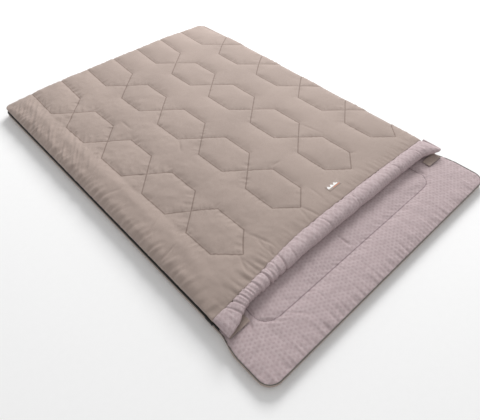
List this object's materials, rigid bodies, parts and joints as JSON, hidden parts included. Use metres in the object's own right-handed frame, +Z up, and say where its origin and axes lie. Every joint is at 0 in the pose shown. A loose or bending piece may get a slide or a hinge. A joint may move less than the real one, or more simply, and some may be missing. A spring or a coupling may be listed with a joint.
{
  "type": "double camp quilt sleeping bag",
  "caption": "Wide two-person camp quilt bag: padded bottom quilt and shorter cover quilt joined at the foot and zipped along both sides, with a lining cuff at the head.",
  "frame": {"origin": "centre of the footprint, on the ground under the bottom quilt", "axes": "+X across the width, +Y from the open head end to the sewn foot end, +Z up; both zips run along Y"},
  "size_m": [1.4852, 2.12, 0.094],
  "materials": {
    "outer_cloth": "soft brushed microfibre, matt",
    "lining_cloth": "cotton blend with a fine pale print, matt",
    "fibre_filling": "loose hollow fibre",
    "piping_cloth": "woven binding",
    "zip_tape": "woven tape",
    "zip_coil": "nylon coil",
    "slider_metal": "satin black enamel",
    "fastening_tape": "hook and loop tape",
    "badge_cloth": "woven label"
  },
  "bodies": {
    "bottom_quilt": {"bottom_outer_shell": "outer_cloth", "bottom_filling": "fibre_filling", "bottom_lining": "lining_cloth", "bottom_piping": "piping_cloth", "foot_binding": "piping_cloth", "zip_tape_lower_left": "zip_tape", "zip_tape_lower_right": "zip_tape", "zip_coil_lower_left": "zip_coil", "zip_coil_lower_right": "zip_coil", "zip_stop_lower_left": "slider_metal", "zip_stop_lower_right": "slider_metal", "loop_patch_left": "fastening_tape", "loop_patch_right": "fastening_tape"},
    "cover_quilt": {"top_outer_shell": "outer_cloth", "top_filling": "fibre_filling", "top_lining": "lining_cloth", "head_cuff": "lining_cloth", "draught_tube_left": "lining_cloth", "draught_tube_right": "lining_cloth", "badge": "badge_cloth", "zip_tape_upper_left": "zip_tape", "zip_tape_upper_right": "zip_tape", "zip_coil_upper_left": "zip_coil", "zip_coil_upper_right": "zip_coil", "zip_stop_upper_left": "slider_metal", "zip_stop_upper_right": "slider_metal"},
    "slider_left": {"zip_slider_left": "slider_metal"},
    "slider_right": {"zip_slider_right": "slider_metal"},
    "pull_left": {"zip_pull_left": "slider_metal"},
    "pull_right": {"zip_pull_right": "slider_metal"},
    "guard_left": {"zip_guard_left": "outer_cloth", "hook_patch_left": "fastening_tape"},
    "guard_right": {"zip_guard_right": "outer_cloth", "hook_patch_right": "fastening_tape"}
  },
  "joints": [
    {"name": "cover_fold", "type": "hinge", "parent": "bottom_quilt", "child": "cover_quilt", "pos_m": [0, 1.055, 0.043], "axis": [-1, 0, 0], "range_deg": [0, 179.7]},
    {"name": "slider_travel_left", "type": "slide", "parent": "bottom_quilt", "child": "slider_left", "axis": [0, 1, 0], "range_m": [0, 1.732]},
    {"name": "slider_travel_right", "type": "slide", "parent": "bottom_quilt", "child": "slider_right", "axis": [0, 1, 0], "range_m": [0, 1.732]},
    {"name": "pull_swing_left", "type": "hinge", "parent": "slider_left", "child": "pull_left", "pos_m": [-0.7247, -0.746, 0.043], "axis": [0, 0, 1], "range_deg": [0, 180]},
    {"name": "pull_swing_right", "type": "hinge", "parent": "slider_right", "child": "pull_right", "pos_m": [0.7247, -0.746, 0.043], "axis": [0, 0, -1], "range_deg": [0, 180]},
    {"name": "guard_flip_left", "type": "hinge", "parent": "bottom_quilt", "child": "guard_left", "pos_m": [-0.711, -0.832, 0.0419], "axis": [0, -1, 0], "range_deg": [0, 180]},
    {"name": "guard_flip_right", "type": "hinge", "parent": "bottom_quilt", "child": "guard_right", "pos_m": [0.711, -0.832, 0.0419], "axis": [0, 1, 0], "range_deg": [0, 180]}
  ]
}
